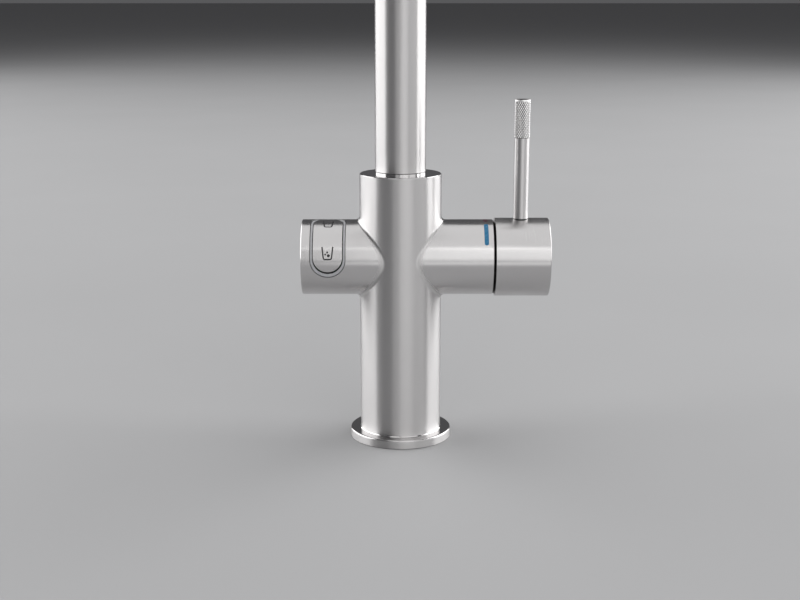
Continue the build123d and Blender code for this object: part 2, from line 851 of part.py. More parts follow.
# Lever
def make_stem():
    stem = rod_y(stem_boss_r, -stem_r, stem_r, pivot_x, arm_z)
    stem += rod_x(stem_r, pivot_x, hub_end - stem_cover)
    stem += rod_x(stem_neck_r, ball_x, pivot_x)
    stem += ball(stem_ball_r, ball_x, 0, arm_z)
    return stem - rod_y(pivot_pin_r + pivot_gap, -stem_r - 1, stem_r + 1, pivot_x, arm_z)


def make_lever_hub():
    lip = hub_r - hub_lip
    crown_x = pivot_x + hollow_r
    lean = asin(lip / hollow_r) / 2
    hollow_mid = (pivot_x + hollow_r * cos(lean), 0, arm_z + hollow_r * sin(lean))
    turn = hub_edge * (1 - cos(radians(45)))
    outline = [
        Line((crown_x, 0, arm_z), (hub_end, 0, arm_z)),
        Line((hub_end, 0, arm_z), (hub_end, 0, hub_top - hub_edge)),
        ThreePointArc(
            (hub_end, 0, hub_top - hub_edge),
            (hub_end - turn, 0, hub_top - turn),
            (hub_end - hub_edge, 0, hub_top),
        ),
        Polyline((hub_end - hub_edge, 0, hub_top), (hub_x, 0, hub_top), (hub_x, 0, arm_z + lip)),
        ThreePointArc((hub_x, 0, arm_z + lip), hollow_mid, (crown_x, 0, arm_z)),
    ]
    hub = turned_x(outline)
    hub -= rod_x(stem_r + snug_gap, pivot_x, hub_end - stem_cover + seal_slack)
    hub -= rod_z(stud_r + snug_gap, hub_top - stud_len - 1, hub_top + 1, pin_x)
    hub -= rod_z(pin_r + part_gap, hub_top - collar_sink, hub_top + 1, pin_x)
    hub -= rod_z(grub_r + snug_gap, hub_low - 1, arm_z, grub_x)
    return hub - rod_z(plug_r + snug_gap, hub_low - 1, hub_low + plug_t, grub_x)


def make_grub_screw():
    top = arm_z - stem_r - snug_gap
    low = top - grub_len
    key = extrude(RegularPolygon(grub_key_r, 6, major_radius=False), grub_key_depth + 1)
    return rod_z(grub_r, low, top, grub_x) - Pos(grub_x, 0, low - 1) * key


def make_hub_plug():
    plug = rod_z(plug_r, hub_low - 1, hub_low + plug_t - snug_gap, grub_x)
    return plug & rod_x(hub_r, hub_x, hub_end)


def make_pin_collar():
    low = hub_top - collar_sink
    return tube_z(pin_r + fit_gap, stud_r + skim_gap, low, low + collar_h, pin_x)


def make_lever_pin():
    foot = hub_top - collar_sink + collar_h
    pin = rod_z(pin_r, foot, pin_top, pin_x)
    pin = chamfer(pin.edges().filter_by(GeomType.CIRCLE).sort_by(Axis.Z)[-1], pin_rim)
    return pin + rod_z(stud_r, hub_top - stud_len, foot, pin_x)


# Push pad module in the left arm
def make_end_cap():
    cap = rod_x(arm_in - fit_gap, -left_reach, cap_in)
    face_rim = cap.edges().filter_by(GeomType.CIRCLE).sort_by(Axis.X)[0]
    return chamfer(face_rim, cap_edge) - o_ring_x(cap_seal_mid, cap_seal_r + cut_slack, cap_seal_x)


def make_cap_seal():
    return o_ring_x(cap_seal_mid, cap_seal_r, cap_seal_x)


def make_pad_housing():
    plug_room = board_plug_half + skim_gap
    housing = rod_x(module_r, cap_in + seal_slack, -body_r - module_inset)
    housing -= pad_block(pocket_half_x, -pocket_half_u, pocket_half_u, board_v, arm_r + 2)
    housing -= pad_slot(ring_w_out + skim_gap, cut_end_deg, ring_floor_r, arm_r + 1)
    housing -= pad_cross_pin(rock_pin_r + cut_slack, pocket_half_x + rock_pin_seat + skim_gap, rock_pivot_v)
    housing -= pad_block(plug_room, -plug_room, plug_room, board_v - board_plug_h - skim_gap, board_v + 1)
    housing -= rod_x(lead_r + loose_gap, pad_x, 0)
    for u in (-board_screw_u, board_screw_u):
        housing -= pad_post(board_screw_r, u, board_v - board_screw_len - seal_slack, board_v + 1)
    return housing


def make_board():
    board = pad_block(pocket_half_x - part_gap, -board_end, board_end, board_v, board_top)
    for u in (-board_screw_u, board_screw_u):
        board -= pad_post(board_screw_r + skim_gap, u, board_v - 1, board_top + 1)
    return board


def make_board_screws():
    screws = []
    for u in (-board_screw_u, board_screw_u):
        head = pad_post(board_screw_head_r, u, board_top, board_top + board_screw_head_h)
        screws.append(head + pad_post(board_screw_r - cut_slack, u, board_v - board_screw_len, board_top))
    return screws


def make_board_plug():
    return pad_block(board_plug_half, -board_plug_half, board_plug_half, board_v - board_plug_h, board_v)


def make_lamps():
    lamps = []
    for x in (lamp_inset - pocket_half_x, pocket_half_x - lamp_inset):
        for u in (-lamp_u, lamp_u):
            low = u - lamp_w / 2
            lamps.append(pad_block(lamp_len / 2, low, low + lamp_w, board_top, board_top + lamp_h, x))
    return lamps


def make_switches():
    half = switch_side / 2
    well = switch_top - plunger_root - plunger_travel - loose_gap
    bodies = []
    for u in (-switch_u, switch_u):
        body = pad_block(half, u - half, u + half, board_top, switch_top)
        bodies.append(body - pad_post(plunger_r + skim_gap, u, well, switch_top + 1))
    return bodies


def make_plunger(u):
    return pad_post(plunger_r, u, switch_top - plunger_root, plunger_end)


def make_light_ring():
    ring = pad_slot(ring_w_out, cut_end_deg, ring_floor_r, ring_top_r)
    return ring - pad_slot(ring_w_in, ring_in_end_deg, ring_floor_r - 1, ring_top_r + 1)


def make_button_pad():
    return pad_slot(pad_w, pad_end_deg, pad_under_r, arm_r)


def make_rocker_frame():
    web_half = frame_web / 2
    web_top = plate_floor + frame_web_bite
    frame = pad_slot(frame_w, frame_end_deg, plate_floor, pad_under_r)
    frame += pad_block(
        pocket_half_x - frame_web_inset, -web_half, web_half, rock_pivot_v - frame_web_below, web_top
    )
    post_top = sqrt((pad_under_r - snug_gap) ** 2 - (switch_u + frame_post_r) ** 2)
    tip = plunger_end + plunger_skim
    for u in (-switch_u, switch_u):
        dome = on_pad(Sphere(frame_tip_r), 0, u, tip + frame_tip_r)
        frame += pad_post(frame_post_r, u, tip, post_top) & dome
    return frame - pad_cross_pin(rock_pin_r + run_gap, pocket_half_x, rock_pivot_v)


def make_rocker_pin():
    return pad_cross_pin(rock_pin_r, pocket_half_x + rock_pin_seat, rock_pivot_v)


# Signal lead from the board to a socket in the foot of the body
def make_signal_lead():
    bend_x = -lead_x - lead_bend_r
    bend_z = arm_z - lead_bend_r
    level = rod_x(lead_r, pad_x + board_plug_half, bend_x)
    drop = rod_z(lead_r, guide_foot_top, bend_z, -lead_x)
    bend = revolve(Pos(-lead_x, 0, 0) * Circle(lead_r), Axis((bend_x, 0, 0), (0, -1, 0)), 90)
    return level + Pos(0, 0, bend_z) * bend + drop


def make_signal_socket():
    low = guide_z - lead_socket_drop
    socket = rod_z(lead_socket_r, low, guide_foot_top, -lead_x)
    return socket - rod_z(lead_socket_bore_r, low - 1, low + lead_socket_bore_h, -lead_x)


# Every node and its maker
nodes = {
    "body_shell": make_body_shell,
    "base_ring": make_base_ring,
    "base_seal": make_base_seal,
    "threaded_shank": make_shank,
    "rubber_washer": make_rubber_washer,
    "clamp_washer": make_clamp_washer,
    "clamp_nut": make_clamp_nut,
    "water_guide": make_water_guide,
    "hot_inlet": lambda: make_inlet(port_x, port_y, channel_r),
    "cold_inlet": lambda: make_inlet(port_x, -port_y, channel_r),
    "filtered_inlet": lambda: make_inlet(port_circle_r, 0, pure_in),
    "filtered_tube_seal": make_pure_seal,
    "bearing_sleeve": make_bearing_sleeve,
    "sleeve_seal": make_sleeve_seal,
    "spout_foot_ring": make_foot_ring,
    "spout_stop_screw": make_stop_screw,
    "spout_spigot": make_spigot,
    "spigot_seals": make_spigot_seals,
    "spout_tube": make_spout_tube,
    "filtered_water_tube": make_pure_tube,
    "outlet_ring": make_outlet_ring,
    "spray_former": make_spray_former,
    "outlet_seal": make_outlet_seal,
    "filtered_nozzle": make_nozzle,
    "cartridge_base": make_cart_base,
    "cartridge_port_seals": make_cart_seals,
    "cartridge_housing": make_cart_housing,
    "fixed_ceramic_disc": make_fixed_disc,
    "moving_ceramic_disc": make_moving_disc,
    "disc_carrier": make_disc_carrier,
    "cartridge_driver": make_driver,
    "lever_pivot_pin": make_pivot_pin,
    "cartridge_nut": make_cart_nut,
    "arm_dome_ring": make_arm_dome,
    "cold_mark": lambda: mark(cold_from_deg, cold_to_deg, mark_w, arm_r - mark_depth, arm_r),
    "hot_mark": lambda: mark(hot_from_deg, hot_to_deg, mark_w, arm_r - mark_depth, arm_r),
    "lever_stem": make_stem,
    "lever_hub": make_lever_hub,
    "hub_grub_screw": make_grub_screw,
    "hub_plug": make_hub_plug,
    "pin_collar": make_pin_collar,
    "lever_pin": make_lever_pin,
    "end_cap": make_end_cap,
    "end_cap_seal": make_cap_seal,
    "pad_housing": make_pad_housing,
    "circuit_board": make_board,
    "board_screws": make_board_screws,
    "board_plug": make_board_plug,
    "ring_lamps": make_lamps,
    "switch_bodies": make_switches,
    "upper_plunger": lambda: make_plunger(switch_u),
    "front_plunger": lambda: make_plunger(-switch_u),
    "light_ring": make_light_ring,
    "button_pad": make_button_pad,
    "rocker_frame": make_rocker_frame,
    "rocker_pin": make_rocker_pin,
    "signal_lead": make_signal_lead,
    "signal_socket": make_signal_socket,
}

os.makedirs("parts", exist_ok=True)
for name, make in nodes.items():
    shape = make()
    if isinstance(shape, list):
        shape = Compound(shape)
    export_step(shape, f"parts/{name}.step")
print(len(nodes), "nodes written")
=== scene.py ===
import json
import math

import bmesh
import bpy
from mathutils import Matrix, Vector


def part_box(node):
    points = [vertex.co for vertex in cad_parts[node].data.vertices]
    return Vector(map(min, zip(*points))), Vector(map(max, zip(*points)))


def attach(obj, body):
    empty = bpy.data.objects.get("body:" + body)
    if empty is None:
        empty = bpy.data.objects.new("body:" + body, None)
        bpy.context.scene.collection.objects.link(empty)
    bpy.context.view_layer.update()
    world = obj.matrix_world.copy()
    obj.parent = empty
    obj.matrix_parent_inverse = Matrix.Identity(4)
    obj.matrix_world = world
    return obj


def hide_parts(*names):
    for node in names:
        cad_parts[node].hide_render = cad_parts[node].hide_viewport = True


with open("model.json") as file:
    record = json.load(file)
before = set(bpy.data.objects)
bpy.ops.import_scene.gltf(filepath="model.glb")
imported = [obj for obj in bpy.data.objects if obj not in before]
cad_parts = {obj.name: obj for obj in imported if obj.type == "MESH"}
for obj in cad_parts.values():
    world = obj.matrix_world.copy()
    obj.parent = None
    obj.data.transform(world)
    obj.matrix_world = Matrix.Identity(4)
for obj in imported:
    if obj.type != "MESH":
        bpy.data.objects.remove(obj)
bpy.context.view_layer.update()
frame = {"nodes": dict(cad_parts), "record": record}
nodes = frame["nodes"]
print("frame loaded:", len(nodes), "CAD nodes")

mm = 0.001


# Shader maths: one socket of a material, with operators that add Math nodes
class Value:
    def __init__(self, finish, socket):
        self.finish = finish
        self.socket = socket

    def __add__(self, other):
        return self.finish.maths("ADD", self, other)

    def __radd__(self, other):
        return self.finish.maths("ADD", other, self)

    def __sub__(self, other):
        return self.finish.maths("SUBTRACT", self, other)

    def __rsub__(self, other):
        return self.finish.maths("SUBTRACT", other, self)

    def __mul__(self, other):
        return self.finish.maths("MULTIPLY", self, other)

    def __rmul__(self, other):
        return self.finish.maths("MULTIPLY", other, self)

    def __truediv__(self, other):
        return self.finish.maths("DIVIDE", self, other)

    def __rtruediv__(self, other):
        return self.finish.maths("DIVIDE", other, self)


class Finish:
    # a material while its nodes are being added
    def __init__(self, name):
        self.material = bpy.data.materials.new(name)
        self.material.use_nodes = True
        self.tree = self.material.node_tree
        self.tree.nodes.clear()

    def node(self, kind, settings=None, inputs=None):
        made = self.tree.nodes.new(kind)
        for key, setting in (settings or {}).items():
            setattr(made, key, setting)
        for key, given in (inputs or {}).items():
            if isinstance(given, Value):
                self.tree.links.new(given.socket, made.inputs[key])
            else:
                made.inputs[key].default_value = given
        return made

    def out(self, made, name=0):
        return Value(self, made.outputs[name])

    def maths(self, operation, *values):
        return self.out(self.node("ShaderNodeMath", {"operation": operation}, dict(enumerate(values))))

    def place(self):
        # a place in the part's frame, in mm, as a vector
        spot = self.out(self.node("ShaderNodeTexCoord"), "Object")
        scaled = self.node("ShaderNodeVectorMath", {"operation": "SCALE"}, {0: spot, "Scale": 1 / mm})
        return self.out(scaled)

    def axes(self):
        # the same place as three numbers
        split = self.node("ShaderNodeSeparateXYZ", None, {0: self.place()})
        return [self.out(split, axis) for axis in "XYZ"]

    def vector(self, x, y, z):
        return self.out(self.node("ShaderNodeCombineXYZ", None, {"X": x, "Y": y, "Z": z}))

    def fromMiddle(self, a, b):
        # distance from an axis
        return self.maths("SQRT", a * a + b * b)

    def around(self, a, b, radius):
        # distance round a cylinder of that radius, in mm
        return self.maths("ARCTAN2", a, b) * radius

    def noise(self, vector, scale, detail=2.0, roughness=0.5):
        made = self.node(
            "ShaderNodeTexNoise", {"noise_dimensions": "3D"},
            {"Vector": vector, "Scale": scale, "Detail": detail, "Roughness": roughness},
        )
        return self.out(made, "Fac")

    def smooth(self, value, low, high, fromValue=0.0, toValue=1.0):
        made = self.node(
            "ShaderNodeMapRange", {"interpolation_type": "SMOOTHSTEP"},
            {"Value": value, "From Min": low, "From Max": high, "To Min": fromValue, "To Max": toValue},
        )
        return self.out(made)

    def blend(self, factor, first, second):
        # two colours mixed by a factor; sockets 6, 7 and output 2 are a Mix node's colours
        made = self.node("ShaderNodeMix", {"data_type": "RGBA"}, {"Factor": factor, 6: first, 7: second})
        return self.out(made, 2)

    def shade(self, colour, factor, low, high):
        # a colour made darker or lighter by a 0 to 1 factor
        dark = tuple(c * low for c in colour) + (1,)
        light = tuple(min(1, c * high) for c in colour) + (1,)
        return self.blend(factor, dark, light)

    def bump(self, height, strength, distance):
        made = self.node(
            "ShaderNodeBump", None, {"Height": height, "Strength": strength, "Distance": distance * mm},
        )
        return self.out(made)

    def principled(self, **inputs):
        named = {key.replace("_", " "): given for key, given in inputs.items()}
        return self.out(self.node("ShaderNodeBsdfPrincipled", None, named))

    def mixed(self, factor, first, second):
        return self.out(self.node("ShaderNodeMixShader", None, {0: factor, 1: first, 2: second}))

    def finished(self, shader):
        self.node("ShaderNodeOutputMaterial", None, {"Surface": shader})
        return self.material


# Sizes read from the frame, in mm
def span(node):
    low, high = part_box(node)
    return low / mm, high / mm


def middleX(node):
    low, high = span(node)
    return (low.x + high.x) / 2


bodyFoot, bodyTop = (corner.z for corner in span("body_shell"))
columnR = span("body_shell")[1].y
armZ = sum(corner.z for corner in span("lever_hub")) / 2
armR = span("button_pad")[1].z - armZ
baseHigh = span("base_ring")[1]
spoutLow, spoutHigh = span("spout_tube")
spoutR = spoutHigh.x
archR = (spoutHigh.y - spoutLow.y - 2 * spoutR) / 2
archZ = spoutHigh.z - spoutR - archR
pinX = middleX("lever_pin")
padX = middleX("button_pad")

# Brushed steel; turn 0.25 stretches highlights up an upright cylinder, 0 along a level one
steel = {
    "colour": (0.615, 0.604, 0.602),
    "roughness": 0.22,
    "roughnessSpread": 0.1,
    "anisotropy": 0.0,
    "turn": 0.25,
    "lineWidth": 0.09,      # mm across one scratch
    "lineLength": 22.0,     # mm along one scratch
    "lineDepth": 0.002,     # mm
    "lineBump": 0.2,
    "fineShare": 0.65,      # fine scratches against broad ones
    "cloudScale": 0.045,    # clouds per mm
    "smudge": 0.05,
    "tone": 0.05,
}
upright = dict(steel, roughness=0.4, roughnessSpread=0.06, anisotropy=0.95)
stemSteel = dict(upright, roughness=0.36)
archSteel = dict(steel, roughness=0.3, roughnessSpread=0.05)
leverSteel = dict(
    steel, roughness=0.26, roughnessSpread=0.03, anisotropy=0.6, turn=0.0, lineDepth=0.0006, tone=0.03,
)
brightSteel = dict(steel, roughness=0.16, roughnessSpread=0.06, anisotropy=0.4, lineWidth=0.1)
polishedSteel = dict(steel, roughness=0.12, roughnessSpread=0.05, lineWidth=0.2, lineDepth=0.001)


def scratches(finish, across, along, look):
    # fine scratches and broad ones; across and along are distances on the surface, in mm
    length = look["lineLength"]
    width = look["lineWidth"]
    fine = finish.noise(finish.vector(along / length, across / width, 0.0), 1.0, 3.0, 0.7)
    broad = finish.noise(finish.vector(along / (2 * length), across / (6 * width), 7.3), 1.0, 2.0, 0.6)
    return fine * look["fineShare"] + broad * (1 - look["fineShare"])


def brushed(finish, across, along, look):
    lines = scratches(finish, across, along, look)
    cloud = finish.noise(finish.place(), look["cloudScale"], 3.0, 0.55)
    least = look["roughness"] - look["roughnessSpread"] / 2
    most = look["roughness"] + look["roughnessSpread"] / 2
    return finish.principled(
        Base_Color=finish.shade(look["colour"], (lines + cloud) * 0.5, 1 - look["tone"], 1 + look["tone"]),
        Metallic=1.0,
        Roughness=finish.smooth(lines, 0.25, 0.75, least, most) + (cloud - 0.5) * look["smudge"],
        Anisotropic=look["anisotropy"],
        Anisotropic_Rotation=look["turn"],
        Normal=finish.bump(lines, look["lineBump"], look["lineDepth"]),
    )


bodyLook = {"armFrom": 0.25, "armFull": 1.75, "topFrom": 0.3, "topFull": 0.1}   # mm off column and top


def brushedBody(look):
    # lines round the column and round the arms, and a polished top
    finish = Finish("brushedBody")
    x, y, z = finish.axes()
    fromAxis = finish.fromMiddle(x, y)
    onArm = finish.smooth(fromAxis, columnR + look["armFrom"], columnR + look["armFull"])
    onTop = finish.smooth(z, bodyTop - look["topFrom"], bodyTop - look["topFull"])
    aroundColumn = finish.around(x, y, columnR)
    column = brushed(finish, z, aroundColumn, upright)
    arm = brushed(finish, x, finish.around(y, z - armZ, armR), steel)
    top = brushed(finish, fromAxis, aroundColumn, polishedSteel)
    return finish.finished(finish.mixed(onTop, finish.mixed(onArm, column, arm), top))


baseLook = {"topFrom": 1.3, "topFull": 0.8}     # mm below the ring's top


def brushedBase(look):
    # brushed edge, polished top
    finish = Finish("brushedBase")
    x, y, z = finish.axes()
    around = finish.around(x, y, baseHigh.x)
    onTop = finish.smooth(z, baseHigh.z - look["topFrom"], baseHigh.z - look["topFull"])
    edge = brushed(finish, z, around, upright)
    top = brushed(finish, finish.fromMiddle(x, y), around, polishedSteel)
    return finish.finished(finish.mixed(onTop, edge, top))


spoutLook = {"bendFrom": 28.0, "bendFull": 30.0}    # mm below and above the arch's middle


def brushedSpout(look):
    # the finish of the straight legs passes slowly into that of the arch
    finish = Finish("brushedSpout")
    x, y, z = finish.axes()
    onArch = finish.smooth(z, archZ - look["bendFrom"], archZ + look["bendFull"])
    leg = brushed(finish, z, finish.around(x, y, spoutR), upright)
    arch = brushed(finish, finish.around(z - archZ, y + archR, archR), x, archSteel)
    return finish.finished(finish.mixed(onArch, leg, arch))


def brushedRings(ringR):
    finish = Finish("brightSteel")
    x, y, z = finish.axes()
    return finish.finished(brushed(finish, z, finish.around(x, y, ringR), brightSteel))


def brushedAlongArm(name, look):
    finish = Finish(name)
    x, y, z = finish.axes()
    return finish.finished(brushed(finish, x, finish.around(y, z - armZ, armR), look))


def turnedFace(name, colour, roughness, pitch, depth):
    # machined metal with fine concentric turning lines
    finish = Finish(name)
    x, y, z = finish.axes()
    spot = finish.place()
    wobble = finish.noise(spot, 0.3)
    lines = finish.maths("SINE", (finish.fromMiddle(x, y) + z * 0.7 + wobble * 0.4) * (2 * math.pi / pitch))
    cloud = finish.noise(spot, 0.12, 4.0, 0.6)
    return finish.finished(finish.principled(
        Base_Color=finish.shade(colour, cloud, 0.86, 1.08),
        Metallic=1.0,
        Roughness=finish.smooth(cloud, 0.2, 0.8, roughness - 0.05, roughness + 0.08),
        Normal=finish.bump(lines, 0.2, depth),
    ))


def mouldedPlastic(name, colour, roughness, grain=0.35, grainDepth=0.02):
    finish = Finish(name)
    spot = finish.place()
    fine = finish.noise(spot, 1 / grain, 3.0, 0.6)
    broad = finish.noise(spot, 0.08)
    return finish.finished(finish.principled(
        Base_Color=finish.shade(colour, broad * 0.7 + fine * 0.3, 0.86, 1.12),
        Roughness=finish.smooth(broad, 0.25, 0.75, roughness - 0.05, roughness + 0.06),
        Normal=finish.bump(fine, 0.3, grainDepth),
    ))


def softRubber(name, colour):
    finish = Finish(name)
    spot = finish.place()
    speck = finish.noise(spot, 3.5, 4.0, 0.7)
    bloom = finish.noise(spot, 0.15, 3.0)
    return finish.finished(finish.principled(
        Base_Color=finish.shade(colour, bloom, 0.75, 1.6),
        Roughness=finish.smooth(bloom, 0.3, 0.7, 0.62, 0.78),
        Normal=finish.bump(speck, 0.25, 0.03),
    ))


def enamel(name, colour, roughness=0.25):
    finish = Finish(name)
    ripple = finish.noise(finish.place(), 0.9)
    return finish.finished(finish.principled(
        Base_Color=finish.shade(colour, ripple, 0.9, 1.12),
        Roughness=finish.smooth(ripple, 0.3, 0.7, roughness - 0.04, roughness + 0.05),
        Normal=finish.bump(ripple, 0.12, 0.03),
    ))


def boardMask():
    # green solder mask with faint copper tracks
    finish = Finish("boardMask")
    x = finish.axes()[0]
    spot = finish.place()
    tracks = finish.maths("SINE", (x + finish.noise(spot, 0.2, 1.0) * 3.0) * 4.2)
    track = finish.smooth(tracks, 0.75, 0.9)
    return finish.finished(finish.principled(
        Base_Color=finish.blend(track, (0.008, 0.09, 0.03, 1), (0.03, 0.2, 0.07, 1)),
        Roughness=finish.smooth(finish.noise(spot, 0.5), 0.3, 0.7, 0.3, 0.42),
        Normal=finish.bump(track, 0.4, 0.03),
    ))


def paleRing():
    finish = Finish("paleRing")
    cloud = finish.noise(finish.place(), 0.35)
    return finish.finished(finish.principled(
        Base_Color=finish.shade((0.5, 0.505, 0.52), cloud, 0.9, 1.1),
        Roughness=finish.smooth(cloud, 0.3, 0.7, 0.22, 0.32),
        Normal=finish.bump(cloud, 0.1, 0.02),
    ))


finishes = {
    "brushed_body": brushedBody(bodyLook),
    "brushed_base": brushedBase(baseLook),
    "brushed_spout": brushedSpout(spoutLook),
    "bright_steel": brushedRings(10.0),
    "brushed_lever": brushedAlongArm("brushedLever", leverSteel),
    "plain_steel": turnedFace("plainSteel", (0.5, 0.5, 0.5), 0.35, 0.25, 0.01),
    "plain_brass": turnedFace("plainBrass", (0.7, 0.5, 0.24), 0.3, 0.3, 0.01),
    "black_rubber": softRubber("blackRubber", (0.018, 0.018, 0.018)),
    "water_guide": mouldedPlastic("guidePlastic", (0.05, 0.052, 0.055), 0.5, 0.3, 0.03),
    "bearing_plastic": mouldedPlastic("bearingPlastic", (0.03, 0.03, 0.032), 0.4),
    "cartridge_plastic": mouldedPlastic("cartridgePlastic", (0.62, 0.62, 0.6), 0.38),
    "ceramic": enamel("ceramic", (0.78, 0.76, 0.7), 0.18),
    "cold_blue": enamel("coldBlue", (0.012, 0.17, 0.34)),
    "hot_red": enamel("hotRed", (0.09, 0.03, 0.045)),
    "outlet_plastic": mouldedPlastic("outletPlastic", (0.2, 0.205, 0.21), 0.35),
    "pure_tube": mouldedPlastic("tubePlastic", (0.6, 0.63, 0.66), 0.3),
    "pad_housing": mouldedPlastic("housingPlastic", (0.02, 0.02, 0.022), 0.42),
    "board": boardMask(),
    "lamps": enamel("lampFace", (0.8, 0.78, 0.6), 0.2),
    "light_ring": paleRing(),
    "button_pad": brushedAlongArm("brushedPad", steel),
    "signal_lead": softRubber("leadSheath", (0.02, 0.02, 0.02)),
}
finishByNode = {"spout_spigot": turnedFace("spigotMetal", (0.035, 0.033, 0.03), 0.5, 0.3, 0.01)}
for part in frame["record"]["subparts"]:
    piece = nodes[part["node"]]
    piece.data.materials.clear()
    piece.data.materials.append(finishByNode.get(part["node"], finishes[part["material_slot"]]))
print("finishes:", len(finishes))


# Building helpers
def addObject(name, bm, material):
    # a new object from a bmesh, with one material
    bmesh.ops.recalc_face_normals(bm, faces=bm.faces)
    mesh = bpy.data.meshes.new(name)
    bm.to_mesh(mesh)
    bm.free()
    mesh.materials.append(material)
    made = bpy.data.objects.new(name, mesh)
    bpy.context.collection.objects.link(made)
    return made


def ringMesh(name, rows, material, closed=False):
    # rows of points, each a closed loop; closed joins the last row to the first
    bm = bmesh.new()
    loops = [[bm.verts.new(Vector(point) * mm) for point in row] for row in rows]
    pairs = list(zip(loops, loops[1:]))
    if closed:
        pairs.append((loops[-1], loops[0]))
    for lower, upper in pairs:
        for i in range(len(lower)):
            j = (i + 1) % len(lower)
            bm.faces.new((lower[i], lower[j], upper[j], upper[i]))
    made = addObject(name, bm, material)
    made.data.polygons.foreach_set("use_smooth", [True] * len(made.data.polygons))
    made.data.set_sharp_from_angle(angle=math.radians(35))
    return made


def circle(r, z, count, middle=0.0):
    turns = [2 * math.pi * i / count for i in range(count)]
    return [(middle + r * math.cos(turn), r * math.sin(turn), z) for turn in turns]


def wave(turns):
    # a triangle wave from 0 to 1 and back in one turn
    return 1 - abs(2 * (turns % 1.0) - 1)


# Lever pin with its knurled tip, in mm
pinLook = {
    "studR": 2.5,
    "stemR": 4.1,
    "stemRows": 6,
    "knurlFrom": 170.0,
    "knurlFade": 0.1,       # where the finish changes
    "rimBelowTop": 1.1,
    "diamonds": 22,
    "diamondHeight": 1.96,
    "samples": 10,          # points across one diamond
    "valleyR": 3.93,
    "peakR": 4.22,
    "riseIn": 0.4,          # over which the diamonds grow
    "riseOut": 0.25,
    "rim": 0.35,
    "rimInset": 0.02,
    "rimEase": 0.1,
    "tipR": 0.01,
    "seam": 0.01,           # between the stem and the first row of diamonds
    # the knurl's colours: painted shade in its valleys, and a painted highlight on its peaks that is
    # lighter than the steel
    "valleyShadeColour": (0.08, 0.078, 0.077, 1),
    "peakHighlightColour": (0.9, 0.89, 0.885, 1),
    "valleyShadeToPeakHighlight": (0.02, 0.12),   # above the valleys, where the painted shade becomes the painted highlight
    "knurlRoughness": (0.38, 0.48),
}


def pinFinish(look):
    # brushed stem, and a knurl with painted shade between its diamonds and a painted highlight on their
    # peaks
    finish = Finish("brushedPin")
    x, y, z = finish.axes()
    acrossPin = x - pinX
    fromAxis = finish.fromMiddle(acrossPin, y)
    onKnurl = finish.smooth(z, look["knurlFrom"] - look["knurlFade"], look["knurlFrom"] + look["knurlFade"])
    stem = brushed(finish, z, finish.around(acrossPin, y, look["peakR"]), stemSteel)
    dark, bright = look["valleyShadeToPeakHighlight"]
    # mask from the painted shade in the valleys to the painted highlight on the peaks
    peak = finish.smooth(fromAxis, look["valleyR"] + dark, look["valleyR"] + bright)
    knurl = finish.principled(
        Base_Color=finish.blend(peak, look["valleyShadeColour"], look["peakHighlightColour"]),
        Metallic=1.0,
        Roughness=finish.smooth(finish.noise(finish.place(), 2.0), 0.3, 0.7, *look["knurlRoughness"]),
    )
    return finish.finished(finish.mixed(onKnurl, stem, knurl))


def makeLeverPin(look):
    low, high = span("lever_pin")
    foot = span("pin_collar")[1].z
    count = look["diamonds"] * look["samples"]
    knurlFrom = look["knurlFrom"]
    knurlTo = high.z - look["rimBelowTop"]
    rimR = look["peakR"] - look["rimInset"]
    easedR = look["peakR"] - look["rimEase"]

    def plain(r, z):
        return circle(r, z, count, pinX)

    def knurled(z, lift):
        row = []
        rise = z / look["diamondHeight"]
        for i in range(count):
            turn = i / look["samples"]
            height = min(wave(turn + rise), wave(turn - rise)) * lift
            r = look["valleyR"] + (look["peakR"] - look["valleyR"]) * height
            angle = 2 * math.pi * i / count
            row.append((pinX + r * math.cos(angle), r * math.sin(angle), z))
        return row

    rows = [plain(look["tipR"], low.z), plain(look["studR"], low.z)]
    rows += [plain(look["studR"], foot), plain(look["stemR"], foot)]
    for k in range(look["stemRows"] + 1):
        rows.append(plain(look["stemR"], foot + (knurlFrom - foot) * k / look["stemRows"]))
    z = knurlFrom
    while z < knurlTo:
        lift = min(1.0, (z - knurlFrom) / look["riseIn"], (knurlTo - z) / look["riseOut"])
        rows.append(knurled(z + look["seam"], lift))
        z += look["diamondHeight"] / look["samples"]
    rows += [plain(rimR, knurlTo + look["rimInset"]), plain(rimR, high.z - look["rim"])]
    rows += [plain(easedR, high.z - look["rimEase"]), plain(rimR - look["rim"], high.z)]
    rows.append(plain(look["tipR"], high.z))
    made = ringMesh("knurledLeverPin", rows, pinFinish(look))
    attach(made, "lever")
    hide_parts("lever_pin")


makeLeverPin(pinLook)
print("lever pin made")


# Shank with its helical thread, in mm
shankLook = {
    "radius": 16.4,
    "boreR": 13.3,
    "flangeR": 20.0,
    "pitch": 1.5,
    "depth": 0.82,
    "flankSlope": 1.35,     # over 1, crest and root are flat
    "rootFlat": 0.18,
    "plainBelow": 3.0,
    "leadIn": 2.0,
    "endPlain": 1.0,
    "endStep": 0.4,
    "segments": 120,
    "rowsPerPitch": 8,
}


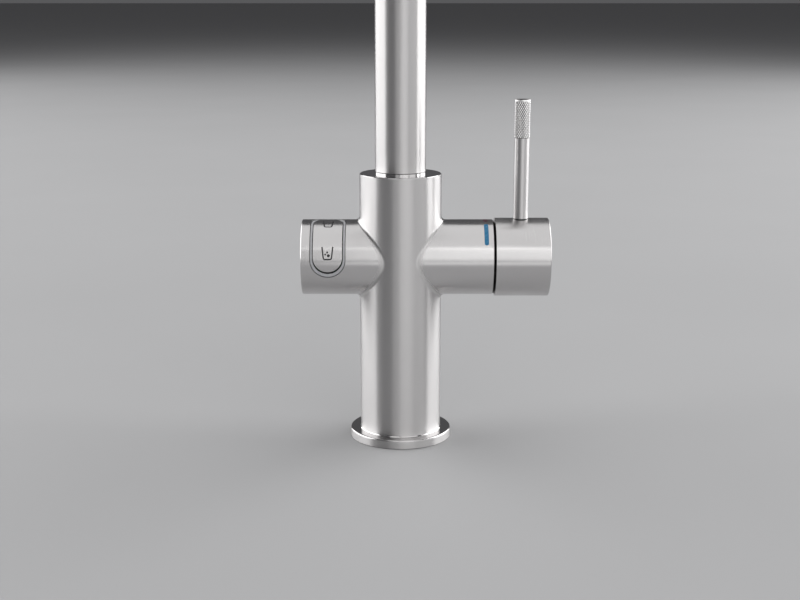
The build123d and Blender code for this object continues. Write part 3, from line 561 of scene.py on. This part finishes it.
def makeShank(look):
    low, high = span("threaded_shank")
    radius = look["radius"]
    rootR = radius - look["depth"]
    threadTop = -look["plainBelow"]
    threadEnd = low.z + look["endPlain"]
    count = look["segments"]

    def plain(r, z):
        return circle(r, z, count)

    def threaded(z, lift):
        row = []
        for i in range(count):
            turn = i / count
            flank = look["flankSlope"] * wave(z / look["pitch"] - turn) - look["rootFlat"]
            crest = min(1.0, max(0.0, flank))
            r = radius - look["depth"] * (1 - crest) * lift
            angle = 2 * math.pi * turn
            row.append((r * math.cos(angle), r * math.sin(angle), z))
        return row

    rows = [plain(look["boreR"], high.z), plain(look["flangeR"], high.z)]
    rows += [plain(look["flangeR"], bodyFoot), plain(radius, bodyFoot), plain(radius, threadTop)]
    step = look["pitch"] / look["rowsPerPitch"]
    z = threadTop - step
    while z > threadEnd:
        rows.append(threaded(z, min(1.0, (threadTop - z) / look["leadIn"])))
        z -= step
    rows += [plain(rootR, threadEnd), plain(rootR - look["endStep"], low.z), plain(look["boreR"], low.z)]
    made = ringMesh("threadedShank", rows, finishes["plain_brass"], closed=True)
    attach(made, "root")
    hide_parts("threaded_shank")


makeShank(shankLook)
print("shank made")


# Push pad symbols: two plain tumblers in fine lines, laid on the pad, in mm
frontLook = {
    "angle": 73.7,          # degrees forward from the top of the arm
    "topHalf": 2.95,
    "footHalf": 2.2,
    "height": 6.9,
    "corner": 0.8,
    "wallSteps": 8,
    "wallDraw": 0.94,       # share of the taper that the straight wall takes
    "cornerSteps": 5,
    "cornerShift": 0.05,
    "lineWidth": 0.74,
    "sunk": 0.004,
    "proud": 0.02,
    "bubbles": [(-1.15, 0.75, 0.5), (-0.1, -0.35, 0.55), (0.55, 1.4, 0.82)],    # across, down, radius
    "bubbleSides": 20,
    "water": [],
}
waterLook = {"halfWidth": 1.9, "level": -0.9, "waves": 2, "lift": 0.3, "steps": 20}
upperLook = dict(
    frontLook, angle=19.2, topHalf=2.75, footHalf=2.05, height=6.2, bubbles=[], water=[waterLook],
)


def tumbler(look):
    # the outline of a tumbler: open at the top, with rounded feet
    half = look["height"] / 2
    corner = look["corner"]
    foot = look["footHalf"]
    taper = (look["topHalf"] - foot) * look["wallDraw"]
    wall = []
    for k in range(look["wallSteps"] + 1):
        share = k / look["wallSteps"]
        wall.append((-look["topHalf"] + taper * share, -half + (look["height"] - corner) * share))
    for k in range(1, look["cornerSteps"] + 1):
        angle = math.radians(90 * k / look["cornerSteps"])
        inward = corner * (1 - math.cos(angle)) + look["cornerShift"]
        wall.append((-foot + inward, half - corner + corner * math.sin(angle)))
    return wall + [(-a, b) for a, b in reversed(wall)]


def waterLine(look):
    # a small wavy water line across a tumbler
    line = []
    for k in range(look["steps"] + 1):
        share = k / look["steps"]
        level = look["level"] + look["lift"] * math.sin(2 * math.pi * look["waves"] * share)
        line.append((look["halfWidth"] * (2 * share - 1), level))
    return line


def strokeEdges(points, width):
    # the left and right edges of a flat line of even width
    left, right = [], []
    for k, (a, b) in enumerate(points):
        before = Vector(points[max(0, k - 1)])
        after = Vector(points[min(len(points) - 1, k + 1)])
        run = (after - before).normalized()
        side = Vector((-run.y, run.x)) * width / 2
        left.append((a + side.x, b + side.y))
        right.append((a - side.x, b - side.y))
    return left, right


def makeSymbol(name, look):
    bm = bmesh.new()

    def lifted(a, b, r):
        # a across the pad, b downwards over its curve
        angle = math.radians(look["angle"]) + b / armR
        return Vector((padX + a, -r * math.sin(angle), armZ + r * math.cos(angle))) * mm

    def prism(outline):
        top = [bm.verts.new(lifted(a, b, armR + look["proud"])) for a, b in outline]
        foot = [bm.verts.new(lifted(a, b, armR - look["sunk"])) for a, b in outline]
        return top, foot

    for points in [tumbler(look)] + [waterLine(water) for water in look["water"]]:
        left, right = strokeEdges(points, look["lineWidth"])
        leftTop, leftFoot = prism(left)
        rightTop, rightFoot = prism(right)
        for k in range(len(points) - 1):
            n = k + 1
            bm.faces.new((leftTop[k], leftTop[n], rightTop[n], rightTop[k]))
            bm.faces.new((leftFoot[k], rightFoot[k], rightFoot[n], leftFoot[n]))
            bm.faces.new((leftTop[k], leftFoot[k], leftFoot[n], leftTop[n]))
            bm.faces.new((rightTop[k], rightTop[n], rightFoot[n], rightFoot[k]))
        for k in (0, len(points) - 1):
            bm.faces.new((leftTop[k], rightTop[k], rightFoot[k], leftFoot[k]))
    sides = look["bubbleSides"]
    for a, b, r in look["bubbles"]:
        top, foot = prism([(a + da, b + db) for da, db, _ in circle(r, 0.0, sides)])
        bm.faces.new(top)
        bm.faces.new(list(reversed(foot)))
        for i in range(sides):
            j = (i + 1) % sides
            bm.faces.new((top[i], foot[i], foot[j], top[j]))
    made = addObject(name, bm, symbolInk)
    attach(made, "push_pad")


symbolInk = mouldedPlastic("symbolInk", (0.012, 0.012, 0.014), 0.55, 0.2, 0.005)
makeSymbol("frontTumbler", frontLook)
makeSymbol("upperTumbler", upperLook)
print("symbols made")


# Floor, camera and light, in metres
floorLook = {
    "half": 40.0,
    "colour": (0.42, 0.42, 0.425),
    "cloudScale": 0.004,    # clouds per mm
    "roughness": 0.7,
    "shine": 0.2,
}


def makeFloor(look):
    half = look["half"]
    finish = Finish("paleFloor")
    cloud = finish.noise(finish.place(), look["cloudScale"])
    material = finish.finished(finish.principled(
        Base_Color=finish.shade(look["colour"], cloud, 0.97, 1.03),
        Roughness=look["roughness"],
        Specular_IOR_Level=look["shine"],
    ))
    bm = bmesh.new()
    corners = [(-half, -half), (half, -half), (half, half), (-half, half)]
    bm.faces.new([bm.verts.new((x, y, 0)) for x, y in corners])
    addObject("floor", bm, material)


cameraLook = {
    "place": (-0.0003, -0.7253, 0.2464),
    "pitchDeg": 13.01,
    "focalPixels": 1321.0,
    "imageWidth": 800.0,    # pixels
    "sensor": 36.0,         # mm
    "nearest": 0.01,
}


def makeCamera(look):
    camera = bpy.data.cameras.new("camera")
    camera.sensor_width = look["sensor"]
    camera.lens = look["focalPixels"] / look["imageWidth"] * look["sensor"]
    camera.clip_start = look["nearest"]
    holder = bpy.data.objects.new("camera", camera)
    holder.location = look["place"]
    holder.rotation_euler = (math.radians(90 - look["pitchDeg"]), 0, 0)
    bpy.context.collection.objects.link(holder)
    bpy.context.scene.camera = holder


# Soft boxes: radiance is what polished metal would show of them, before its own colour
lampLooks = {
    "leftSoftbox": {
        "place": (-2.1, 1.3, 1.35), "aim": (0, 1.3, 1.35), "size": (4.0, 2.8), "radiance": 2.45,
    },
    "rightSoftbox": {
        "place": (2.1, 1.4, 1.35), "aim": (0, 1.4, 1.35), "size": (3.5, 2.8), "radiance": 2.9,
    },
    "frontLeftPanel": {
        "place": (-1.1, -4.4, 1.6), "aim": (-1.1, 0, 0.8), "size": (1.5, 3.2), "radiance": 0.5,
    },
    "frontPanel": {
        "place": (0.27, -4.4, 1.6), "aim": (0.27, 0, 0.8), "size": (1.0, 3.2), "radiance": 1.2,
    },
    "frontMiddlePanel": {
        "place": (1.8, -4.1, 1.6), "aim": (0, 0, 0.6), "size": (2.2, 3.2), "radiance": 1.35,
    },
    "frontRightPanel": {
        "place": (3.5, -2.4, 1.6), "aim": (0, 0, 0.6), "size": (2.6, 3.2), "radiance": 1.15,
    },
    "overheadPanel": {
        "place": (0.4, -1.3, 3.3), "aim": (0.4, -1.3, 0), "size": (3.1, 7.0), "radiance": 0.85,
    },
    # a pale card on the floor, nearer than the picture's lower edge
    "frontCard": {
        "place": (0.18, -0.85, 0.002), "aim": (0.18, -0.85, 1), "size": (0.5, 0.8), "radiance": 0.65,
    },
}
skyColour = (0.1, 0.1, 0.104, 1)


def makeLamp(name, look):
    lamp = bpy.data.lights.new(name, "AREA")
    lamp.shape = "RECTANGLE"
    lamp.size, lamp.size_y = look["size"]
    lamp.energy = look["radiance"] * math.pi * lamp.size * lamp.size_y
    holder = bpy.data.objects.new(name, lamp)
    holder.location = look["place"]
    aim = Vector(look["aim"]) - Vector(look["place"])
    holder.rotation_euler = aim.to_track_quat("-Z", "Y").to_euler()
    holder.visible_camera = False
    bpy.context.collection.objects.link(holder)


makeFloor(floorLook)
makeCamera(cameraLook)
for lampName, lampLook in lampLooks.items():
    makeLamp(lampName, lampLook)

world = bpy.data.worlds.new("studio")
bpy.context.scene.world = world
world.use_nodes = True
world.node_tree.nodes["Background"].inputs["Color"].default_value = skyColour
world.node_tree.nodes["Background"].inputs["Strength"].default_value = 1.0
bpy.context.scene.view_settings.view_transform = "Standard"
print("floor, camera and light made")
